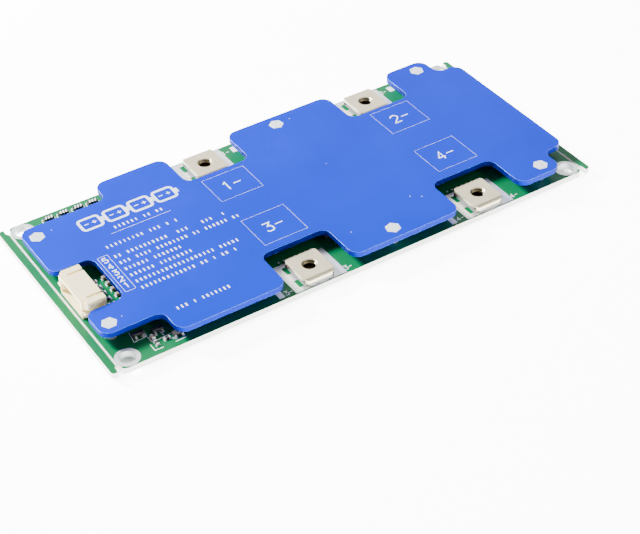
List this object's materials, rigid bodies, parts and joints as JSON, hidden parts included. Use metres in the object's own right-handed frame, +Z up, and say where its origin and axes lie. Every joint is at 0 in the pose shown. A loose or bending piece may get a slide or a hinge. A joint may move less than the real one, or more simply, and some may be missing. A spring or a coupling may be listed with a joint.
{
  "type": "battery management board",
  "caption": "Flat circuit board with break-off end rails, a blue heat-spreading plate over its power stage, bent screw terminals in side notches and a side-entry lead connector.",
  "frame": {"origin": "middle of the board in plan, at the level of the screw heads that it stands on", "axes": "+X along the board, away from the connector; +Y across it, to the charge terminals; +Z up through the plate"},
  "size_m": [0.144, 0.0644, 0.0084],
  "materials": {
    "solder_mask": "green solder mask over glass-epoxy laminate",
    "tinned_copper": "tin-plated copper, bright",
    "anodised_aluminium": "blue anodised, satin",
    "zinc_plated_steel": "zinc plated",
    "silicone_pad": "soft silicone gap filler",
    "moulded_epoxy": "black moulded epoxy",
    "shunt_alloy": "resistance alloy strip",
    "nickel_plated_brass": "nickel plated, satin",
    "nylon": "natural nylon, ivory",
    "ceramic": "fired ceramic"
  },
  "bodies": {
    "root": {"pcb": "solder_mask", "mount_rings": "tinned_copper", "terminal_lands": "tinned_copper", "heat_plate": "anodised_aluminium", "standoffs": "zinc_plated_steel", "standoff_screws": "zinc_plated_steel", "thermal_pad_back": "silicone_pad", "thermal_pad_front": "silicone_pad", "fet_bodies_back": "moulded_epoxy", "fet_frames_back": "tinned_copper", "fet_bodies_front": "moulded_epoxy", "fet_frames_front": "tinned_copper", "current_shunts": "shunt_alloy", "terminal_back_left": "nickel_plated_brass", "terminal_back_right": "nickel_plated_brass", "terminal_front_left": "nickel_plated_brass", "terminal_front_right": "nickel_plated_brass", "connector_housing": "nylon", "connector_pins": "tinned_copper", "pin_solder": "tinned_copper", "protection_chip": "moulded_epoxy", "protection_chip_leads": "tinned_copper", "balance_transistors": "moulded_epoxy", "balance_transistor_leads": "tinned_copper", "balance_resistors": "moulded_epoxy", "balance_resistor_ends": "tinned_copper", "gate_transistors": "moulded_epoxy", "gate_transistor_leads": "tinned_copper", "sense_resistors": "moulded_epoxy", "sense_resistor_ends": "tinned_copper", "sense_capacitors": "ceramic", "sense_capacitor_ends": "tinned_copper"}
  },
  "joints": []
}
